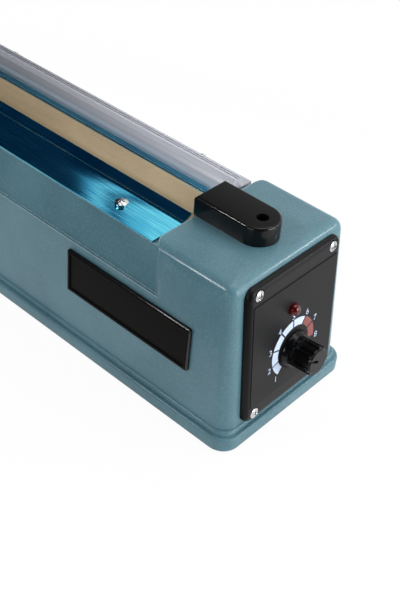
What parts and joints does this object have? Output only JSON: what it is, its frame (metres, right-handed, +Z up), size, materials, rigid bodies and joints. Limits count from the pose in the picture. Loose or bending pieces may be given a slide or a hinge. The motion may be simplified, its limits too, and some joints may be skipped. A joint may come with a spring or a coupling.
{
  "type": "bag sealer",
  "caption": "Hand-operated impulse bag sealer: long cast body with a heated rail under release cloth, a sprung press arm, and a timer knob on one end.",
  "frame": {"origin": "on the surface that the feet stand on, under the middle of the whole length, from the flange's far end to the knob's tip, and under the middle of the width", "axes": "+X along the body towards the control panel, +Y to the rear, away from the user, +Z up"},
  "size_m": [0.4416, 0.08, 0.2616],
  "materials": {
    "casting_paint": "hammered teal-grey paint, semi-gloss",
    "zinc_sheet": "zinc-plated sheet",
    "foot_rubber": "matt",
    "bright_screw": "bright plated",
    "panel_plastic": "fine satin",
    "overlay_print": "printed film, satin",
    "lamp_red": "tinted, glossy",
    "black_plastic": "satin black moulding",
    "plated_steel": "plated, satin",
    "board_green": "solder mask",
    "component_blue": "moulded",
    "nylon": "natural nylon",
    "switch_brown": "phenolic",
    "plunger_red": "moulded",
    "core_steel": "varnished laminations",
    "coil_tape": "taped copper winding",
    "plate_black": "bare, no print",
    "rail_aluminium": "extruded, satin",
    "tape_tan": "glass-cloth tape",
    "ribbon_alloy": "rolled resistance alloy",
    "cloth_tan": "coated glass cloth, satin",
    "strip_blue": "brushed, blue lacquer",
    "guard_clear": "satin clear extrusion",
    "terminal_phenolic": "heat-proof moulding",
    "brass_post": "turned",
    "spring_steel": "drawn wire",
    "pad_silicone": "matt silicone"
  },
  "bodies": {
    "base": {"body_casting": "casting_paint", "base_plate": "zinc_sheet", "rubber_feet": "foot_rubber", "foot_screws": "bright_screw", "control_panel": "panel_plastic", "dial_overlay": "overlay_print", "panel_screws": "bright_screw", "indicator_lens": "lamp_red", "indicator_leads": "plated_steel", "pot_case": "zinc_sheet", "pot_nut": "plated_steel", "timer_board": "board_green", "board_components": "component_blue", "board_standoffs": "nylon", "microswitch": "switch_brown", "switch_screws": "bright_screw", "transformer_core": "core_steel", "transformer_coil": "coil_tape", "transformer_screws": "bright_screw", "cord_gland": "black_plastic", "gland_nut": "black_plastic", "nameplate": "plate_black", "heating_rail": "rail_aluminium", "rail_screws": "bright_screw", "insulating_tape": "tape_tan", "heating_ribbon": "ribbon_alloy", "release_cloth": "cloth_tan", "front_strip": "strip_blue", "rear_strip": "strip_blue", "strip_screws": "bright_screw", "rear_guard": "guard_clear", "guard_screws": "bright_screw", "near_terminal_base": "terminal_phenolic", "far_terminal_base": "terminal_phenolic", "terminal_posts": "brass_post", "near_terminal_cover": "black_plastic", "far_terminal_cover": "black_plastic", "hinge_bracket": "plated_steel", "bracket_screws": "bright_screw", "hinge_pin": "plated_steel", "hinge_washers": "nylon", "pin_clips": "spring_steel", "return_spring": "spring_steel"},
    "arm": {"press_arm": "casting_paint", "press_bar": "rail_aluminium", "bar_screws": "bright_screw", "silicone_pad": "pad_silicone", "arm_grip": "black_plastic", "grip_screws": "bright_screw", "switch_pin": "plated_steel"},
    "knob": {"timer_knob": "black_plastic", "pot_shaft": "plated_steel"},
    "plunger": {"switch_plunger": "plunger_red"}
  },
  "joints": [
    {"name": "arm_press", "type": "hinge", "parent": "base", "child": "arm", "pos_m": [-0.19682, 0, 0.0965], "axis": [0, 1, 0], "range_deg": [0, 22], "stiffness_Nm_per_rad": 4, "springref_deg": -20.05, "deforming": ["return_spring"]},
    {"name": "timer_turn", "type": "hinge", "parent": "base", "child": "knob", "pos_m": [0.20805, 0, 0.03602], "axis": [0.9971, 0, 0.0767], "range_deg": [-160, 78]},
    {"name": "switch_press", "type": "slide", "parent": "base", "child": "plunger", "axis": [0, 0, -1], "range_m": [0, 0.0015], "stiffness_N_per_m": 200}
  ],
  "couplings": [
    {"joint": "switch_press", "follows": "arm_press", "m_per_rad": 0.0039}
  ]
}
